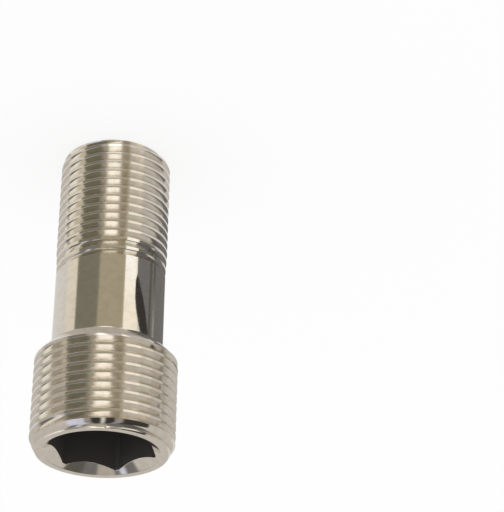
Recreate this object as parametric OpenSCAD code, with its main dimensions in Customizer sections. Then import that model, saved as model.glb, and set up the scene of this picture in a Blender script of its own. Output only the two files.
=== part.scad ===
// Straight pipe coupling: a turned and plated brass nipple with a wide male thread
// at one end and a narrower male thread at the other. It is one solid piece, with a
// plain neck between the threads, a round water way right through it, and a
// hexagon socket for a key in the mouth of the wide end.
// It stands on its narrow end: +Z runs up its axis, and z = 0 is the narrow end's face.

/* [Overall] */
// Length from the narrow end's face to the wide end's face
overall_length = 60; // [56:0.5:90]

/* [Wide thread] */
// Diameter over the crests of the wide thread
wide_thread_d = 26.441; // [25.6:0.001:33.249]
// Depth of the wide thread, from its crests to its roots
wide_thread_depth = 1.162; // [0.8:0.001:1.3]
// Length of the wide end, from its face to the foot of its shoulder
wide_length = 20; // [17:0.1:24]
// Length of the lead-in chamfer at the wide end's face
wide_lead_in = 2; // [1:0.1:3]
// Length of the cone that the shoulder falls in, from the crests to its foot
shoulder_chamfer = 2.3; // [1:0.1:3]
// Diameter at the foot of the shoulder's cone
shoulder_foot_d = 22; // [21.6:0.1:24]

/* [Neck] */
// Diameter of the plain neck between the threads
neck_d = 20.6; // [20:0.05:20.8]
// Radius of the fillet where the neck meets the shoulder
neck_fillet = 0.5; // [0.2:0.1:0.6]

/* [Narrow thread] */
// Diameter over the crests of the narrow thread
narrow_thread_d = 20.955; // [20.955:0.001:22.5]
// Length of the narrow thread, from its face to the neck
narrow_length = 22.6; // [15:0.1:28]
// Length of the lead-in chamfer at the narrow end's face
narrow_lead_in = 1.3; // [0.8:0.1:2.5]
// Diameter at the narrow end's face, where its lead-in chamfer ends
narrow_end_d = 20; // [18.5:0.05:20.9]

/* [Water way] */
// Diameter of the round bore
bore_d = 15; // [12:0.1:15.6]
// Width of the small chamfer round the bore at the narrow end's face
bore_chamfer = 0.6; // [0.2:0.1:0.8]

/* [Key socket] */
// Width of the hexagon across its flats
socket_across_flats = 17.6; // [17:0.1:18.2]
// Width of the hexagon across its blunted corners
socket_across_corners = 19.9; // [19:0.1:20.2]
// Depth of the hexagon from the wide end's face
socket_depth = 12; // [8:0.1:14]
// Diameter of the mouth at the wide end's face
mouth_d = 21.5; // [20.6:0.1:22]
// Angle between the mouth's cone and the axis
mouth_angle = 50; // [40:1:60]
// Angle between the cone under the socket and the axis
socket_floor_angle = 60; // [45:1:70]

/* [Hidden] */
$fn = 96;
// Overrun of a cutting shape past the face that it cuts
overrun = 1;
wide_r = wide_thread_d / 2;
narrow_r = narrow_thread_d / 2;
neck_r = neck_d / 2;
bore_r = bore_d / 2;
mouth_r = mouth_d / 2;
shoulder_foot_r = shoulder_foot_d / 2;
shoulder_z = overall_length - wide_length;
// The wide end's lead-in reaches down to the roots of its thread
wide_root_r = wide_r - wide_thread_depth;
narrow_end_r = narrow_end_d / 2;
socket_floor_z = overall_length - socket_depth;
socket_corner_r = socket_across_corners / 2;
socket_sharp_r = socket_across_flats / 2 / cos(30);

// Outer outline of one side, from the narrow end's face up to the wide end's
module outer_outline() {
    polygon([
        [0, 0],
        [narrow_end_r, 0],
        [narrow_r, narrow_lead_in],
        [narrow_r, narrow_length],
        [neck_r, narrow_length + narrow_r - neck_r],
        [neck_r, shoulder_z],
        [shoulder_foot_r, shoulder_z],
        [wide_r, shoulder_z + shoulder_chamfer],
        [wide_r, overall_length - wide_lead_in],
        [wide_root_r, overall_length],
        [0, overall_length]
    ]);
}

// Corner left between the neck and the shoulder by a round-nosed tool
module fillet_outline() {
    translate([neck_r, shoulder_z - neck_fillet]) difference() {
        square(neck_fillet);
        translate([neck_fillet, 0]) circle(r = neck_fillet);
    }
}

// Turned outside of the coupling, still solid through
module turned_blank() {
    rotate_extrude() {
        outer_outline();
        fillet_outline();
    }
}

// Round bore from end to end, chamfered at the narrow end's face
module water_way() {
    translate([0, 0, -overrun])
        cylinder(r = bore_r, h = overall_length + 2 * overrun);
    translate([0, 0, -overrun])
        cylinder(r1 = bore_r + bore_chamfer + overrun, r2 = bore_r, h = bore_chamfer + overrun);
}

// Hexagon for the key, its corners on the Y axis and blunted by a round, with a cone at
// its foot down to the bore. The hexagon trims the cone, so each flat ends in an arc.
module key_socket() {
    cone_drop = (socket_corner_r - bore_r) / tan(socket_floor_angle);
    intersection() {
        rotate([0, 0, 90])
            translate([0, 0, socket_floor_z - cone_drop - overrun])
                cylinder(r = socket_sharp_r, h = socket_depth + cone_drop + 2 * overrun, $fn = 6);
        union() {
            translate([0, 0, socket_floor_z - cone_drop])
                cylinder(r1 = bore_r, r2 = socket_corner_r, h = cone_drop);
            translate([0, 0, socket_floor_z])
                cylinder(r = socket_corner_r, h = socket_depth + overrun);
        }
    }
}

// Countersunk mouth. It runs out over the hexagon in a scallop on each flat.
module mouth() {
    mouth_depth = mouth_r / tan(mouth_angle);
    translate([0, 0, overall_length - mouth_depth])
        cylinder(r1 = 0, r2 = mouth_r, h = mouth_depth);
    translate([0, 0, overall_length])
        cylinder(r = mouth_r, h = overrun);
}

module coupling() {
    color("lightgray") difference() {
        turned_blank();
        water_way();
        key_socket();
        mouth();
    }
}

coupling();
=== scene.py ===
"""Studio scene of a straight pipe coupling: a plated nipple with two helical pipe threads,
standing on its narrow end, with a hexagon key socket in the mouth of its wide end.

Lengths are written in millimetres and turned into metres by MM where meshes are made.
"""
import math

import bmesh
import bpy
from mathutils import Matrix, Vector


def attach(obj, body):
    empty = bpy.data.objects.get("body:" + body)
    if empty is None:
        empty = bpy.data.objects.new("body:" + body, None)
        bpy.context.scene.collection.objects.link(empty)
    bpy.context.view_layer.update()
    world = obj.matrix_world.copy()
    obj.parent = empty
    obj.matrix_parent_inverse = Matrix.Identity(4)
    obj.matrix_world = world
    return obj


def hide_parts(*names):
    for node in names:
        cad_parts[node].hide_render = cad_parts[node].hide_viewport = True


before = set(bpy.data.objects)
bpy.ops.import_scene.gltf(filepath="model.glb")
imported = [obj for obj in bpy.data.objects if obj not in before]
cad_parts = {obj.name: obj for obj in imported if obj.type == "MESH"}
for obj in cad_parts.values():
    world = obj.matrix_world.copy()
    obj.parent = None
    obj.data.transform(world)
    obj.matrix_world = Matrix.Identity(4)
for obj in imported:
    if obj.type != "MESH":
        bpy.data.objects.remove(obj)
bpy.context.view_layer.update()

MM = 0.001

# Sizes of the coupling
OVERALL_LENGTH = 60.0
BLANK_WIDE_R = 26.441 / 2
BLANK_NARROW_R = 20.955 / 2
NECK_R = 20.6 / 2
WIDE_LENGTH = 20.0
NARROW_LENGTH = 22.6
WIDE_LEAD_IN = 2.0
NARROW_LEAD_IN = 1.3
NARROW_END_R = 20.0 / 2
NECK_FILLET = 0.5
SHOULDER_Z = OVERALL_LENGTH - WIDE_LENGTH
SHOULDER_FOOT_R = 22.0 / 2
SHOULDER_CHAMFER = 2.3

# Pipe thread, 14 to the inch, right-handed, with wide flats on its crests and narrow ones in
# its roots. A land is half such a flat. The crests' lower edges are the rounder ones.
PITCH = 25.4 / 14
THREAD_DEPTH = 0.640327 * PITCH
FLANK_ANGLE = math.radians(27.5)
CREST_LAND = 0.15 * PITCH
ROOT_LAND = PITCH / 6 - CREST_LAND
CREST_UPPER_EDGE = 0.04
CREST_LOWER_EDGE = 0.12
ROOT_EDGE = 0.04
WIDE_ROOT_R = BLANK_WIDE_R - THREAD_DEPTH
NARROW_ROOT_R = BLANK_NARROW_R - THREAD_DEPTH
WIDE_CREST_Z = 58.79
NARROW_CREST_Z = 3.25
CREST_AZIMUTH = math.radians(90)

# Run-outs, where the tool left the groove: the narrow one's is in the neck, past the slight
# taper of its crests, and the wide one's in the cone of the shoulder
NARROW_TAPER = 0.06
NARROW_TOP = NARROW_LENGTH + BLANK_NARROW_R - NECK_R
NARROW_GROOVE_TOP = 25.4
NARROW_RUN_OUT = 1.3
WIDE_GROOVE_FOOT = 41.3
WIDE_RUN_OUT = 1.6

# Bore, socket and mouth
BORE_R = 15.0 / 2
BORE_CHAMFER = 0.6
SOCKET_FLAT_R = 17.6 / 2
SOCKET_CORNER_R = 19.9 / 2
SOCKET_DEPTH = 12.0
SOCKET_FLOOR_ANGLE = math.radians(60)
MOUTH_R = 21.5 / 2
MOUTH_ANGLE = math.radians(50)
EDGE_BREAK = 0.08

# Mesh steps: columns round the axis, bends in a rounded edge and in the neck's fillet
COLUMNS = 180
BEND_STEPS = 3
FILLET_STEPS = 6

# Mesh joining: how close points are merged, and the bend from which an edge is sharp, in
# general and down the socket
MERGE_DISTANCE = 2e-3
SLIVER = 1e-4
SHARP_BEND = math.radians(34)
SOCKET_SHARP_BEND = math.radians(20)

# Plating: its colours, and how strongly a pit shows in them
PLATING_COLOUR = (0.78, 0.75, 0.70)
PLATING_BRIGHT = (0.80, 0.77, 0.72)
PLATING_WARM = (0.75, 0.715, 0.655)
PLATING_TARNISHED = (0.70, 0.65, 0.57)
PLATING_PIT = (0.42, 0.38, 0.31)
# Painted shade: the bore and the socket take this darker colour for the shade down inside them
PLATING_PAINTED_SHADE_INSIDE = (0.30, 0.29, 0.275)
PIT_SHARE = 0.35

# Its noises: features in each millimetre along x, y and z, and the level of detail
WAVES = ((0.35, 0.35, 0.5), 1)
TURNING_MARKS = ((0.12, 0.12, 3.0), 2)
STAINS = ((0.6, 0.6, 0.9), 3)
PITS = ((2.4, 2.4, 2.4), 1)
PIT_EDGE = (0.70, 0.76)
WARM_STAIN = (0.35, 0.7)
TARNISH_STAIN = (0.2, 0.6)

# What adds to its roughness, and to its bump's height in millimetres
ROUGHNESS = {
    "everywhere": 0.03, "marks": 0.06, "stains": 0.05, "roots": 0.06, "pits": 0.15, "dull_and_shaded": 0.4}
BUMP_HEIGHT = 0.006
BUMP = {"waves": 1, "marks": 0.08, "pits": -0.3}

# Where it is dull, and darkened with painted shade: below a line of (z, radius), which keeps out the
# mouth's cone
INSIDE_LOW = (30.0, 7.9)
INSIDE_HIGH = (45.0, 10.12)
INSIDE_EDGE = (0, 0.1)
CONE_EDGE = (0.05, 0.3)

# Where it is tarnished: at these heights above a thread's roots, and between these levels
ROOT_FOOT = (-0.2, -0.05)
ROOT_TOP = (0.1, 0.6)
WIDE_ROOT_LEVELS = (
    (SHOULDER_Z + SHOULDER_CHAMFER, SHOULDER_Z + SHOULDER_CHAMFER + 0.5),
    (OVERALL_LENGTH - 0.6, OVERALL_LENGTH - 0.2))
NARROW_ROOT_LEVELS = ((0.3, 0.8), (NARROW_GROOVE_TOP, NARROW_GROOVE_TOP + 1))

# Camera, from the photograph's outline of the coupling
VIEW_AZIMUTH = math.radians(167.723)
VIEW_ELEVATION = math.radians(27.990)
VIEW_ROLL = math.radians(-179.334)
VIEW_DISTANCE = 364.67
AIM_POINT = (23.612, -16.723, 13.367)
FOCAL_PIXELS = 1850.5
PHOTO_HEIGHT = 512
SENSOR = 36.0
CLIP_START = 10.0

# Studio. The cards' azimuths are in degrees to the right of the line from the coupling
# to the camera, and the ceiling's cards are placed by their distance across, per height.
CARD_AZIMUTH = math.radians(72.8)
WORLD_LEVEL = 1.0
FLOOR_SIZE = 4000.0
FLOOR_COLOUR = (0.95, 0.95, 0.95)
FLOOR_ROUGHNESS = 0.9
FLOOR_WHITE_SHARE = 0.8
TONES = {
    "glare": (1.95, 1.95, 1.90),
    "white": (1.55, 1.52, 1.45),
    "bright": (1.20, 1.18, 1.13),
    "cream": (1.10, 1.02, 0.88),
    "warm": (0.83, 0.77, 0.65),
    "pale": (0.75, 0.73, 0.70),
    "beige": (0.62, 0.58, 0.54),
    "cool": (0.72, 0.73, 0.88),
    "stone": (0.50, 0.465, 0.41),
    "olive": (0.43, 0.38, 0.27),
    "ash": (0.34, 0.32, 0.29),
    "dim": (0.22, 0.21, 0.16),
    "grey": (0.19, 0.184, 0.184),
    "dark": (0.12, 0.12, 0.10),
    "black": (0.045, 0.042, 0.04),
}

# Cards that stand upright round the neck, on a drum: a tone below, a tone above, and
# (azimuth, lower edge, upper edge) along the card. One of them is a wedge over a grey card.
DRUM_R = 22.0
DRUM_FOOT = 15
BRIGHT_TOP = 34.6
DARK_TOP = 37.6
FADE_EDGE = (0.15, 0.75)
WEDGE = [
    (41.5, 23, 26.5), (44, 21.6, 29), (47, 22.4, 30.6), (50, 23.6, 32), (53.5, 24.8, 33.3),
    (57, 26, 34.4), (60, 27.3, DARK_TOP), (63.5, 28.7, DARK_TOP), (66.5, 30.3, DARK_TOP),
    (70, 32.5, DARK_TOP)]
DRUM_CARDS = [
    ("bright", "cream", [(azimuth, DRUM_FOOT, BRIGHT_TOP) for azimuth in (23, 29, 35, 41)]),
    ("black", "black", WEDGE),
    ("grey", "grey", [(azimuth, DRUM_FOOT, foot) for azimuth, foot, top in WEDGE[1:]]),
    ("dark", "dark", [(azimuth, DRUM_FOOT, DARK_TOP) for azimuth in (70, 76)]),
    ("grey", "grey", [(azimuth, DRUM_FOOT, DARK_TOP) for azimuth in (76, 81)]),
    ("dark", "ash", [(azimuth, DRUM_FOOT, DARK_TOP) for azimuth in (81, 86)]),
    ("grey", "grey", [(azimuth, DRUM_FOOT, DARK_TOP) for azimuth in (86, 100, 115, 140)])]

# Cards that lie on the floor round the coupling, from one azimuth to another
FLOOR_CARD_LIFT = 0.02
FLOOR_CARD_NEAR = 98.0
FLOOR_CARD_FAR = 150.0
FLOOR_CARD_STEPS = 6
FLOOR_CARDS = [
    ("stone", -118, -62), ("warm", 52, 74), ("beige", 74, 98), ("ash", 98, 114), ("stone", 114, 165)]

# Cards far away, in rows: low down, along the floor, at the horizon, in front and above.
# Each has a tone and the place where it starts, and each row its soft edge between cards.
DEEP_SOFT = 4
DEEP_CARDS = [
    ("pale", -180), ("beige", -128), ("dim", -72), ("stone", -34), ("white", -20),
    ("stone", 11), ("olive", 17), ("pale", 31), ("beige", 84), ("pale", 100)]
LOW_SOFT = 2
LOW_CARDS = [
    ("pale", -180), ("warm", -102), ("dim", -74), ("olive", -24), ("cream", 30), ("pale", 62)]
HORIZON_SOFT = 4
HORIZON_CARDS = [
    ("beige", -180), ("bright", -125), ("ash", -67), ("stone", -38), ("pale", -28),
    ("glare", -20), ("pale", 11), ("stone", 19), ("bright", 28), ("pale", 60), ("beige", 78),
    ("pale", 118)]
FRONT_SOFT = 2
FRONT_CARDS = [
    ("beige", -180), ("cool", -64), ("ash", -34), ("black", -22), ("pale", -4),
    ("black", 3), ("ash", 20), ("black", 34), ("beige", 80)]
CEILING_SOFT = 0.03
CEILING_REACH = 2
CEILING_CARDS = [
    ("beige", -2), ("grey", -0.78), ("cool", -0.52), ("grey", -0.40), ("stone", -0.28),
    ("grey", 0.07), ("dark", 0.36), ("beige", 0.76)]

# Edges between those rows: by a direction's upward part, and above the horizon by its distance
# towards the camera, per height, where the height counts as at least LEAST_HEIGHT
DEEP_EDGE = (-0.86, -0.80)
LOW_EDGE = (-0.56, -0.50)
HORIZON_EDGE = (-0.34, -0.28)
UPPER_EDGE = (0.0, 0.08)
CEILING_EDGE = (-1.6, -1.2)
FRONT_EDGE = (0.35, 0.45)
LEAST_HEIGHT = 0.05


def make_camera():
    """Camera at the photograph's angle. Azimuth 0 looks along +Y, with +X to the right."""
    toward = Vector((
        math.sin(VIEW_AZIMUTH) * math.cos(VIEW_ELEVATION),
        -math.cos(VIEW_AZIMUTH) * math.cos(VIEW_ELEVATION),
        math.sin(VIEW_ELEVATION)))
    data = bpy.data.cameras.new("camera")
    data.sensor_width = SENSOR
    data.lens = FOCAL_PIXELS * SENSOR / PHOTO_HEIGHT
    data.clip_start = CLIP_START * MM
    camera = bpy.data.objects.new("camera", data)
    bpy.context.scene.collection.objects.link(camera)
    upright = (-toward).to_track_quat("-Z", "Y").to_matrix().to_4x4()
    place = Matrix.Translation((Vector(AIM_POINT) + toward * VIEW_DISTANCE) * MM)
    camera.matrix_world = place @ upright @ Matrix.Rotation(VIEW_ROLL, 4, "Z")
    bpy.context.scene.camera = camera


def bend(radius, land):
    """Where a rounded edge of the profile starts and ends, from the middle of its land."""
    start = land - radius * math.tan((math.pi / 2 - FLANK_ANGLE) / 2)
    return start, start + radius * math.cos(FLANK_ANGLE)


def bend_drop(radius, land, x):
    """How far the profile has turned away from a land, at x from the land's middle."""
    start, end = bend(radius, land)
    if x <= start:
        return 0
    if x >= end:
        return (x - land) / math.tan(FLANK_ANGLE)
    return radius - math.sqrt(radius ** 2 - (x - start) ** 2)


def thread_steps():
    """Axial offsets from a crest, over one pitch, that follow the profile."""
    root_start, root_end = bend(ROOT_EDGE, ROOT_LAND)
    root = [PITCH / 2 - x for x in (root_end, (root_start + root_end) / 2, root_start)]
    halves = []
    for radius in (CREST_UPPER_EDGE, CREST_LOWER_EDGE):
        start, end = bend(radius, CREST_LAND)
        crest = [start, (2 * start + end) / 3, (start + 2 * end) / 3, end]
        halves.append(crest + [(end + PITCH / 2 - root_end) / 2] + root)
    return halves[0] + [PITCH - x for x in reversed(halves[1])]


def thread_drop(offset):
    """Depth of the thread's surface below its crests, at an axial offset from a crest."""
    signed = (offset + PITCH / 2) % PITCH - PITCH / 2
    x = abs(signed)
    if x < PITCH / 3:
        return bend_drop(CREST_UPPER_EDGE if signed > 0 else CREST_LOWER_EDGE, CREST_LAND, x)
    return THREAD_DEPTH - bend_drop(ROOT_EDGE, ROOT_LAND, PITCH / 2 - x)


def climb(angle):
    """How far the right-handed helix has risen at an angle round the axis."""
    return PITCH * (angle - CREST_AZIMUTH) / (2 * math.pi)


def wide_blank(z):
    """Radius of the wide end before threading, with its lead-in and shoulder chamfers."""
    lead = WIDE_ROOT_R + (OVERALL_LENGTH - z) * THREAD_DEPTH / WIDE_LEAD_IN
    slope = (BLANK_WIDE_R - SHOULDER_FOOT_R) / SHOULDER_CHAMFER
    shoulder = SHOULDER_FOOT_R + (z - SHOULDER_Z) * slope
    return min(BLANK_WIDE_R, lead, shoulder)


def wide_radius(angle, z):
    """Radius of the threaded wide end. Its thread runs out in the shoulder."""
    offset = z - WIDE_CREST_Z - climb(angle)
    share = (z - offset % PITCH + PITCH / 2 - WIDE_GROOVE_FOOT) / WIDE_RUN_OUT
    lift = THREAD_DEPTH * min(1, max(0, 1 - share))
    return min(wide_blank(z), BLANK_WIDE_R - thread_drop(offset) + lift)


def narrow_blank(z):
    """Radius of the narrow end before threading, from its lead-in chamfer to the neck."""
    slope = (BLANK_NARROW_R - NARROW_END_R) / NARROW_LEAD_IN
    taper = max(0, NARROW_TOP - z) * NARROW_TAPER
    return min(BLANK_NARROW_R, NARROW_END_R + z * slope, NECK_R + taper)


def narrow_radius(angle, z):
    """Radius of the threaded narrow end. Its thread runs out in the neck."""
    offset = z - NARROW_CREST_Z - climb(angle)
    share = (NARROW_GROOVE_TOP - z + offset % PITCH - PITCH / 2) / NARROW_RUN_OUT
    lift = THREAD_DEPTH * min(1, max(0, 1 - share))
    return min(narrow_blank(z), BLANK_NARROW_R - thread_drop(offset) + lift)


def socket_corners():
    """Angles where the socket's flats meet its blunted corners."""
    half_flat = math.acos(SOCKET_FLAT_R / SOCKET_CORNER_R)
    return [
        (middle * math.pi / 3 + side * half_flat) % (2 * math.pi)
        for middle in range(6) for side in (-1, 1)]


def column_angles():
    """Angles of the mesh's columns: evenly spaced, but with one on each corner of the socket."""
    angles = [2 * math.pi * column / COLUMNS for column in range(COLUMNS)]
    for corner in socket_corners():
        angles[round(corner / (2 * math.pi) * COLUMNS) % COLUMNS] = corner
    return angles


def thread_strip(mesh, z_low, z_high, crest_z, radius_at):
    """Helical grid between two levels, on the surface that radius_at(angle, z) gives."""
    steps = thread_steps()
    turns_below = math.ceil((crest_z - z_low) / PITCH) + 2
    turns_above = math.ceil((z_high - crest_z) / PITCH) + 2
    offsets = [turn * PITCH + step for turn in range(-turns_below, turns_above) for step in steps]
    grid = []
    for angle in column_angles():
        line = []
        for offset in offsets:
            z = min(max(crest_z + offset + climb(angle), z_low), z_high)
            radius = radius_at(angle, z)
            line.append(mesh.verts.new((radius * math.cos(angle), radius * math.sin(angle), z)))
        grid.append(line)
    rows = len(offsets)
    for column in range(COLUMNS):
        here = grid[column]
        following = grid[(column + 1) % COLUMNS]
        shift = len(steps) if column == COLUMNS - 1 else 0
        for row in range(rows - 1 - shift):
            mesh.faces.new((
                here[row], following[row + shift], following[row + 1 + shift], here[row + 1]))


def socket_radius(angle):
    """Radius of the blunted hexagon, whose corners lie on the Y axis."""
    sixth = math.pi / 3
    from_flat = (angle + sixth / 2) % sixth - sixth / 2
    return min(SOCKET_FLAT_R / math.cos(from_flat), SOCKET_CORNER_R)


def rounded(corners):
    """Replaces each (r, z, reach) corner that has a reach by a short curve of that reach."""
    line = []
    for index, (r, z, reach) in enumerate(corners):
        if reach == 0:
            line.append((r, z))
            continue
        before = Vector(corners[index - 1][:2]) - Vector((r, z))
        after = Vector(corners[index + 1][:2]) - Vector((r, z))
        start = Vector((r, z)) + before.normalized() * reach
        end = Vector((r, z)) + after.normalized() * reach
        for step in range(BEND_STEPS + 1):
            t = step / BEND_STEPS
            point = start * (1 - t) ** 2 + Vector((r, z)) * 2 * t * (1 - t) + end * t * t
            line.append((point.x, point.y))
    return line


def loops(mesh, section):
    """Closed bands between successive points of section(angle), a list of (r, z)."""
    grid = []
    for angle in column_angles():
        grid.append([
            mesh.verts.new((r * math.cos(angle), r * math.sin(angle), z))
            for r, z in section(angle)])
    for column in range(COLUMNS):
        here = grid[column]
        following = grid[(column + 1) % COLUMNS]
        for row in range(len(here) - 1):
            mesh.faces.new((here[row], following[row], following[row + 1], here[row + 1]))


def neck_section(angle):
    """From the shoulder's foot down the neck to the narrow thread."""
    turns = [math.pi / 2 * step / FILLET_STEPS for step in range(FILLET_STEPS + 1)]
    fillet = [
        (NECK_R + NECK_FILLET * (1 - math.sin(turn)), SHOULDER_Z - NECK_FILLET * (1 - math.cos(turn)))
        for turn in turns]
    return [(SHOULDER_FOOT_R, SHOULDER_Z)] + fillet + [(NECK_R, NARROW_GROOVE_TOP)]


def inner_section(angle):
    """From the narrow end's outer edge in, up the bore and the socket, and out over the face."""
    socket = socket_radius(angle)
    floor_z = OVERALL_LENGTH - SOCKET_DEPTH
    floor_slope = 1 / math.tan(SOCKET_FLOOR_ANGLE)
    scallop_z = OVERALL_LENGTH - (MOUTH_R - socket) / math.tan(MOUTH_ANGLE)
    return rounded([
        (narrow_radius(angle, 0), 0, 0),
        (BORE_R + BORE_CHAMFER, 0, EDGE_BREAK),
        (BORE_R, BORE_CHAMFER, EDGE_BREAK),
        (BORE_R, floor_z - (SOCKET_CORNER_R - BORE_R) * floor_slope, EDGE_BREAK),
        (socket, floor_z - (SOCKET_CORNER_R - socket) * floor_slope, EDGE_BREAK),
        (socket, scallop_z, EDGE_BREAK),
        (MOUTH_R, OVERALL_LENGTH, EDGE_BREAK),
        (WIDE_ROOT_R, OVERALL_LENGTH, 0)])


def on_socket_corner(edge):
    """Whether an edge runs down the socket where a flat meets a blunted corner."""
    for vertex in edge.verts:
        if math.hypot(vertex.co.x, vertex.co.y) > SOCKET_CORNER_R + EDGE_BREAK:
            return False
        if vertex.co.z < OVERALL_LENGTH - SOCKET_DEPTH - EDGE_BREAK:
            return False
    return edge.calc_face_angle(0) > SOCKET_SHARP_BEND


def with_weighted_normals(data):
    """Copy of a mesh whose flat faces shade flat up to their rounded edges."""
    shape = bpy.data.objects.new("shape", data)
    bpy.context.scene.collection.objects.link(shape)
    normals = shape.modifiers.new("normals", "WEIGHTED_NORMAL")
    normals.keep_sharp = True
    normals.thresh = 0
    graph = bpy.context.evaluated_depsgraph_get()
    weighted = bpy.data.meshes.new_from_object(shape.evaluated_get(graph))
    bpy.data.objects.remove(shape)
    bpy.data.meshes.remove(data)
    return weighted


def make_coupling():
    """The whole coupling as one closed mesh, with both threads cut.

    It is shaped in millimetres and scaled at the end, as the normals' weights need large faces.
    """
    mesh = bmesh.new()
    thread_strip(mesh, SHOULDER_Z, OVERALL_LENGTH, WIDE_CREST_Z, wide_radius)
    thread_strip(mesh, 0, NARROW_GROOVE_TOP, NARROW_CREST_Z, narrow_radius)
    loops(mesh, neck_section)
    loops(mesh, inner_section)
    bmesh.ops.remove_doubles(mesh, verts=mesh.verts, dist=MERGE_DISTANCE)
    bmesh.ops.dissolve_degenerate(mesh, edges=mesh.edges, dist=SLIVER)
    bmesh.ops.recalc_face_normals(mesh, faces=mesh.faces)
    for face in mesh.faces:
        face.smooth = True
    for edge in mesh.edges:
        bent = edge.calc_face_angle(0) > SHARP_BEND
        edge.smooth = not (bent or on_socket_corner(edge))
    open_edges = sum(1 for edge in mesh.edges if len(edge.link_faces) != 2)
    print("coupling faces", len(mesh.faces), "open or shared edges", open_edges)
    data = bpy.data.meshes.new("shape")
    mesh.to_mesh(data)
    mesh.free()
    data = with_weighted_normals(data)
    data.name = "threaded_coupling"
    data.transform(Matrix.Scale(MM, 4))
    coupling = bpy.data.objects.new("threaded_coupling", data)
    bpy.context.scene.collection.objects.link(coupling)
    return coupling


def vector_node(tree, operation, first, second, output="Vector"):
    """Vector Math node of a socket and a plain vector, and one of its outputs."""
    node = tree.nodes.new("ShaderNodeVectorMath")
    node.operation = operation
    tree.links.new(first, node.inputs[0])
    node.inputs[1].default_value = second
    return node.outputs[output]


def math_node(tree, operation, first, second=0.0):
    """Math node of two values or sockets, and its output."""
    node = tree.nodes.new("ShaderNodeMath")
    node.operation = operation
    for socket, value in zip(node.inputs, (first, second)):
        if isinstance(value, (int, float)):
            socket.default_value = value
        else:
            tree.links.new(value, socket)
    return node.outputs[0]


def product(tree, first, *factors):
    """Product of sockets."""
    for factor in factors:
        first = math_node(tree, "MULTIPLY", first, factor)
    return first


def weighted_sum(tree, parts, weights, start=0.0):
    """Sum of a plain start and the named sockets, each times its weight."""
    result = start
    for name, socket in parts.items():
        part = math_node(tree, "MULTIPLY", socket, weights[name])
        result = math_node(tree, "ADD", result, part)
    return result


def smooth_step(tree, value, start, end, falling=False):
    """0 before start and 1 after end, or the reverse, with a smooth slope between them."""
    node = tree.nodes.new("ShaderNodeMapRange")
    node.interpolation_type = "SMOOTHSTEP"
    tree.links.new(value, node.inputs["Value"])
    node.inputs["From Min"].default_value = start
    node.inputs["From Max"].default_value = end
    node.inputs["To Min"].default_value = int(falling)
    node.inputs["To Max"].default_value = int(not falling)
    return node.outputs["Result"]


def blend_colours(tree, factor, first, second):
    """Colour mix of two colours or sockets."""
    node = tree.nodes.new("ShaderNodeMix")
    node.data_type = "RGBA"
    tree.links.new(factor, node.inputs["Factor"])
    for name, value in (("A", first), ("B", second)):
        socket = next(s for s in node.inputs if s.name == name and s.type == "RGBA")
        if isinstance(value, tuple):
            socket.default_value = (*value, 1)
        else:
            tree.links.new(value, socket)
    return next(s for s in node.outputs if s.type == "RGBA")


def noise(tree, place, stretch, detail):
    """Noise from 0 to 1, with this many features in each millimetre along x, y and z."""
    node = tree.nodes.new("ShaderNodeTexNoise")
    tree.links.new(vector_node(tree, "MULTIPLY", place, stretch), node.inputs["Vector"])
    node.inputs["Scale"].default_value = 1
    node.inputs["Detail"].default_value = detail
    return node.outputs["Fac"]


def dull_and_shaded_share(tree, radius, z):
    """1 in the bore and the socket, which are dull and darkened with painted shade, and 0 on the
    mouth's cone and all that is outside.
    """
    limit = tree.nodes.new("ShaderNodeMapRange")
    tree.links.new(z, limit.inputs["Value"])
    limit.inputs["From Min"].default_value = INSIDE_LOW[0]
    limit.inputs["From Max"].default_value = INSIDE_HIGH[0]
    limit.inputs["To Min"].default_value = INSIDE_LOW[1]
    limit.inputs["To Max"].default_value = INSIDE_HIGH[1]
    within = math_node(tree, "SUBTRACT", limit.outputs["Result"], radius)
    depth = math_node(tree, "SUBTRACT", OVERALL_LENGTH, z)
    cone = math_node(tree, "MULTIPLY", depth, math.tan(MOUTH_ANGLE))
    cone = math_node(tree, "SUBTRACT", MOUTH_R, cone)
    past_cone = math_node(tree, "SUBTRACT", radius, cone)
    return product(
        tree, smooth_step(tree, within, *INSIDE_EDGE), smooth_step(tree, past_cone, *CONE_EDGE))


def root_share(tree, radius, z, root, lower, upper):
    """1 in one thread's roots, and 0 on its crests and past its lower and upper levels."""
    height = math_node(tree, "SUBTRACT", radius, root)
    return product(
        tree,
        smooth_step(tree, height, *ROOT_FOOT),
        smooth_step(tree, height, *ROOT_TOP, falling=True),
        smooth_step(tree, z, *lower),
        smooth_step(tree, z, *upper, falling=True))


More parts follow.
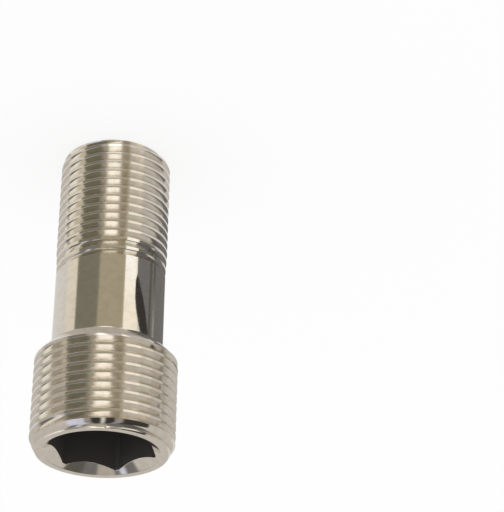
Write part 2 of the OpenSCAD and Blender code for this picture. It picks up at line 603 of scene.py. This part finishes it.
def plating():
    """Bright warm plating over turned brass.

    It is polished outside, with faint turning marks, soft waves and a few pits, a little
    tarnished in the roots of the threads, and dull in the bore and the socket, which painted
    shade darkens.
    """
    material = bpy.data.materials.new("plating")
    material.use_nodes = True
    tree = material.node_tree
    shader = tree.nodes["Principled BSDF"]
    shader.inputs["Base Color"].default_value = (*PLATING_COLOUR, 1)
    shader.inputs["Metallic"].default_value = 1
    coordinates = tree.nodes.new("ShaderNodeTexCoord").outputs["Object"]
    place = vector_node(tree, "MULTIPLY", coordinates, (1 / MM, 1 / MM, 1 / MM))
    flat = vector_node(tree, "MULTIPLY", place, (1, 1, 0))
    radius = vector_node(tree, "LENGTH", flat, (0, 0, 0), "Value")
    split = tree.nodes.new("ShaderNodeSeparateXYZ")
    tree.links.new(place, split.inputs[0])
    z = split.outputs["Z"]

    waves = noise(tree, place, *WAVES)
    marks = noise(tree, place, *TURNING_MARKS)
    stains = noise(tree, place, *STAINS)
    pits = smooth_step(tree, noise(tree, place, *PITS), *PIT_EDGE)
    dull_and_shaded = dull_and_shaded_share(tree, radius, z)
    wide_roots = root_share(tree, radius, z, WIDE_ROOT_R, *WIDE_ROOT_LEVELS)
    narrow_roots = root_share(tree, radius, z, NARROW_ROOT_R, *NARROW_ROOT_LEVELS)
    roots = math_node(tree, "MAXIMUM", wide_roots, narrow_roots)

    colour = blend_colours(
        tree, smooth_step(tree, stains, *WARM_STAIN), PLATING_BRIGHT, PLATING_WARM)
    tarnish = product(tree, roots, smooth_step(tree, stains, *TARNISH_STAIN))
    colour = blend_colours(tree, tarnish, colour, PLATING_TARNISHED)
    colour = blend_colours(tree, math_node(tree, "MULTIPLY", pits, PIT_SHARE), colour, PLATING_PIT)
    # Painted shade: the bore and the socket are darkened for the shade inside them
    colour = blend_colours(tree, dull_and_shaded, colour, PLATING_PAINTED_SHADE_INSIDE)
    tree.links.new(colour, shader.inputs["Base Color"])

    parts = {"marks": marks, "stains": stains, "roots": roots, "pits": pits, "dull_and_shaded": dull_and_shaded}
    roughness = weighted_sum(tree, parts, ROUGHNESS, ROUGHNESS["everywhere"])
    tree.links.new(roughness, shader.inputs["Roughness"])

    height = weighted_sum(tree, {"waves": waves, "marks": marks, "pits": pits}, BUMP)
    bump = tree.nodes.new("ShaderNodeBump")
    bump.inputs["Strength"].default_value = 1
    bump.inputs["Distance"].default_value = BUMP_HEIGHT * MM
    tree.links.new(height, bump.inputs["Height"])
    tree.links.new(bump.outputs["Normal"], shader.inputs["Normal"])
    return material


def make_floor():
    """White floor. It keeps the coupling's soft shadow, and the metal reflects the cards instead."""
    bpy.ops.mesh.primitive_plane_add(size=FLOOR_SIZE * MM, location=(0, 0, 0))
    floor = bpy.context.object
    floor.name = "floor"
    floor.visible_glossy = False
    material = bpy.data.materials.new("floor")
    material.use_nodes = True
    tree = material.node_tree
    diffuse = tree.nodes["Principled BSDF"]
    diffuse.inputs["Base Color"].default_value = (*FLOOR_COLOUR, 1)
    diffuse.inputs["Roughness"].default_value = FLOOR_ROUGHNESS
    diffuse.inputs["Specular IOR Level"].default_value = 0
    white = tree.nodes.new("ShaderNodeEmission")
    path = tree.nodes.new("ShaderNodeLightPath")
    share = math_node(tree, "MULTIPLY", path.outputs["Is Camera Ray"], FLOOR_WHITE_SHARE)
    mix = tree.nodes.new("ShaderNodeMixShader")
    tree.links.new(share, mix.inputs[0])
    tree.links.new(diffuse.outputs[0], mix.inputs[1])
    tree.links.new(white.outputs[0], mix.inputs[2])
    tree.links.new(mix.outputs[0], tree.nodes["Material Output"].inputs["Surface"])
    floor.data.materials.append(material)


def card_point(turn, distance, z):
    """Point at an azimuth to the right of the line to the camera, in metres."""
    angle = CARD_AZIMUTH - math.radians(turn)
    return (distance * math.cos(angle) * MM, distance * math.sin(angle) * MM, z * MM)


def make_card(name, faces, tone, upper_tone=None):
    """Card of the given faces that only the metal sees. It may fade from a tone to another."""
    mesh = bmesh.new()
    for corners in faces:
        mesh.faces.new([mesh.verts.new(corner) for corner in corners])
    data = bpy.data.meshes.new(name)
    mesh.to_mesh(data)
    mesh.free()
    card = bpy.data.objects.new(name, data)
    bpy.context.scene.collection.objects.link(card)
    card.visible_camera = False
    card.visible_diffuse = False
    card.visible_shadow = False
    card.visible_transmission = False
    material = bpy.data.materials.new(name)
    material.use_nodes = True
    tree = material.node_tree
    glow = tree.nodes.new("ShaderNodeEmission")
    glow.inputs["Color"].default_value = (*TONES[tone], 1)
    if upper_tone:
        place = tree.nodes.new("ShaderNodeSeparateXYZ")
        coordinates = tree.nodes.new("ShaderNodeTexCoord")
        tree.links.new(coordinates.outputs["Generated"], place.inputs[0])
        fade = smooth_step(tree, place.outputs["Z"], *FADE_EDGE)
        blend = blend_colours(tree, fade, TONES[tone], TONES[upper_tone])
        tree.links.new(blend, glow.inputs["Color"])
    tree.links.new(glow.outputs[0], tree.nodes["Material Output"].inputs["Surface"])
    data.materials.append(material)


def make_cards():
    """Cards round the neck and on the floor, and a black disc of painted shade under the bore."""
    for number, (lower, upper, columns) in enumerate(DRUM_CARDS, 1):
        faces = [
            (card_point(turn, DRUM_R, low), card_point(next_turn, DRUM_R, next_low),
             card_point(next_turn, DRUM_R, next_high), card_point(turn, DRUM_R, high))
            for (turn, low, high), (next_turn, next_low, next_high) in zip(columns, columns[1:])]
        make_card("drum_card_%d" % number, faces, lower, None if upper == lower else upper)
    for number, (tone, start, end) in enumerate(FLOOR_CARDS, 1):
        arc = [
            start + (end - start) * step / FLOOR_CARD_STEPS for step in range(FLOOR_CARD_STEPS + 1)]
        faces = [
            (card_point(turn, FLOOR_CARD_NEAR, FLOOR_CARD_LIFT),
             card_point(turn, FLOOR_CARD_FAR, FLOOR_CARD_LIFT),
             card_point(next_turn, FLOOR_CARD_FAR, FLOOR_CARD_LIFT),
             card_point(next_turn, FLOOR_CARD_NEAR, FLOOR_CARD_LIFT))
            for turn, next_turn in zip(arc, arc[1:])]
        make_card("floor_card_%d" % number, faces, tone)
    # Painted shade: a black disc at the bore's foot stands for the shaded floor inside the bore, as
    # the metal sees it
    shade_disc = [card_point(turn, BORE_R + BORE_CHAMFER, FLOOR_CARD_LIFT) for turn in range(0, 360, 10)]
    make_card("painted_shade_under_bore", [shade_disc], "black")


def card_row(tree, place, low, high, cards, soft):
    """Row of cards side by side: each has a tone and the place where it starts."""
    node = tree.nodes.new("ShaderNodeMapRange")
    tree.links.new(place, node.inputs["Value"])
    node.inputs["From Min"].default_value = low
    node.inputs["From Max"].default_value = high
    ramp = tree.nodes.new("ShaderNodeValToRGB")
    tree.links.new(node.outputs["Result"], ramp.inputs["Fac"])
    elements = ramp.color_ramp.elements
    elements[0].position = 0
    elements[0].color = (*TONES[cards[0][0]], 1)
    elements[1].position = 1
    elements[1].color = (*TONES[cards[-1][0]], 1)
    for (before, _), (tone, start) in zip(cards, cards[1:]):
        for name, edge in ((before, start - soft), (tone, start + soft)):
            element = elements.new((edge - low) / (high - low))
            element.color = (*TONES[name], 1)
    return ramp.outputs["Color"]


def make_world():
    """White studio. What the metal reflects is rows of pale, grey and black cards."""
    world = bpy.data.worlds.new("studio")
    world.use_nodes = True
    tree = world.node_tree
    direction = tree.nodes.new("ShaderNodeTexCoord").outputs["Generated"]

    def along(axis):
        return vector_node(tree, "DOT_PRODUCT", direction, axis, "Value")

    toward = along((math.cos(CARD_AZIMUTH), math.sin(CARD_AZIMUTH), 0))
    side = along((math.sin(CARD_AZIMUTH), -math.cos(CARD_AZIMUTH), 0))
    up = along((0, 0, 1))
    azimuth = math_node(tree, "ARCTAN2", side, toward)
    azimuth = math_node(tree, "MULTIPLY", azimuth, 180 / math.pi)
    height = math_node(tree, "MAXIMUM", up, LEAST_HEIGHT)
    across = math_node(tree, "DIVIDE", side, height)
    lengthwise = math_node(tree, "DIVIDE", toward, height)

    deep = card_row(tree, azimuth, -180, 180, DEEP_CARDS, DEEP_SOFT)
    low = card_row(tree, azimuth, -180, 180, LOW_CARDS, LOW_SOFT)
    horizon = card_row(tree, azimuth, -180, 180, HORIZON_CARDS, HORIZON_SOFT)
    front = card_row(tree, azimuth, -180, 180, FRONT_CARDS, FRONT_SOFT)
    ceiling = card_row(tree, across, -CEILING_REACH, CEILING_REACH, CEILING_CARDS, CEILING_SOFT)
    upper = TONES["beige"]
    for edge, row in ((CEILING_EDGE, ceiling), (FRONT_EDGE, front)):
        upper = blend_colours(tree, smooth_step(tree, lengthwise, *edge), upper, row)
    cards = TONES["beige"]
    for edge, row in (
            (DEEP_EDGE, deep), (LOW_EDGE, low), (HORIZON_EDGE, horizon), (UPPER_EDGE, upper)):
        cards = blend_colours(tree, smooth_step(tree, up, *edge), cards, row)

    path = tree.nodes.new("ShaderNodeLightPath")
    plain = (WORLD_LEVEL, WORLD_LEVEL, WORLD_LEVEL)
    seen = blend_colours(tree, path.outputs["Is Camera Ray"], plain, (1.0, 1.0, 1.0))
    seen = blend_colours(tree, path.outputs["Is Glossy Ray"], seen, cards)
    tree.links.new(seen, tree.nodes["Background"].inputs["Color"])
    bpy.context.scene.world = world


make_camera()
make_world()
make_floor()
make_cards()
coupling = make_coupling()
coupling.data.materials.append(plating())
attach(coupling, "root")
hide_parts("coupling")

bpy.context.scene.view_settings.view_transform = "Standard"
